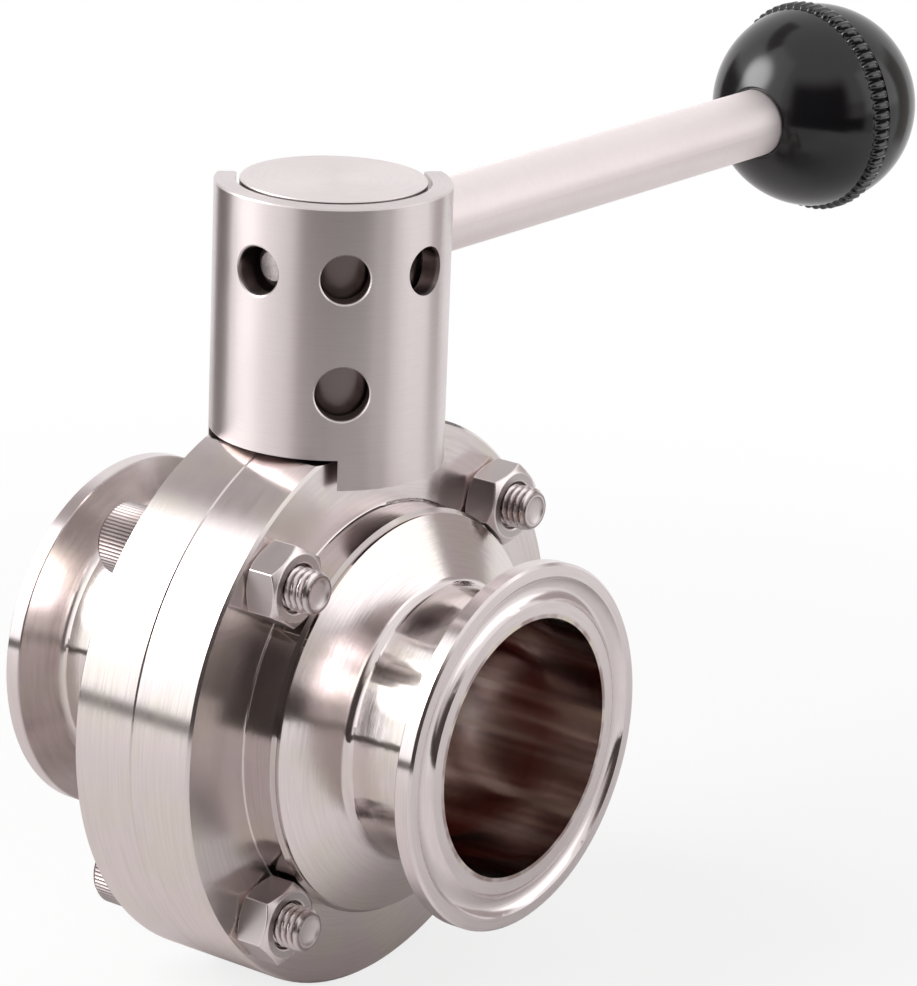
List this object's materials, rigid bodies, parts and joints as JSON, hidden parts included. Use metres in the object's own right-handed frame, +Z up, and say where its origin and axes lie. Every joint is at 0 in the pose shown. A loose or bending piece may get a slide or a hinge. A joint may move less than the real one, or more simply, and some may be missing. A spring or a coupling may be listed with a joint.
{
  "type": "sanitary butterfly valve",
  "caption": "Sanitary butterfly valve with clamp ferrules, bolted split body, indexed pull handle with ball knob; shuts off or throttles flow in a hygienic pipe.",
  "frame": {"origin": "centre of the rear port's sealing face, on the flow axis", "axes": "+X along the flow axis towards the front port, +Y along the handle with the valve closed, +Z up the stem"},
  "size_m": [0.07, 0.1714, 0.118],
  "materials": {
    "body_steel": "polished turned stainless steel",
    "disc_steel": "polished stainless steel",
    "sleeve_steel": "satin, brushed round the tube",
    "hub_steel": "fine turned and brushed",
    "rod_steel": "satin",
    "pin_steel": "turned",
    "fastener_steel": "bright stainless fasteners",
    "spring_steel": "drawn wire",
    "insert_steel": "turned",
    "seat_rubber": "smooth moulded elastomer, red-brown",
    "seal_rubber": "smooth moulded elastomer, black",
    "bush_plastic": "plain bearing plastic, off-white",
    "knob_plastic": "gloss black moulding"
  },
  "bodies": {
    "valve_body": {"body_half_front": "body_steel", "body_half_rear": "body_steel", "seat_ring": "seat_rubber", "stem_bush_upper": "bush_plastic", "stem_bush_lower": "bush_plastic", "thrust_washer": "bush_plastic", "clamp_screws": "fastener_steel", "clamp_nuts": "fastener_steel", "index_sleeve": "sleeve_steel"},
    "spindle": {"butterfly_disc": "disc_steel", "stem_o_ring_upper": "seal_rubber", "stem_o_ring_lower": "seal_rubber", "handle_hub": "hub_steel", "hub_set_screw": "fastener_steel", "plunger_spring": "spring_steel"},
    "handle": {"lock_plunger": "pin_steel", "handle_rod": "rod_steel", "knob_base": "knob_plastic", "knob_cap": "knob_plastic", "knob_insert": "insert_steel"}
  },
  "joints": [
    {"name": "handle_turn", "type": "hinge", "parent": "valve_body", "child": "spindle", "pos_m": [0.035, 0, 0], "axis": [0, 0, 1], "range_deg": [0, 90]},
    {"name": "handle_pull", "type": "slide", "parent": "spindle", "child": "handle", "axis": [0, 1, 0], "range_m": [-0.0034, 0], "stiffness_N_per_m": 1500, "springref_m": -0.0134, "deforming": ["plunger_spring"]}
  ]
}
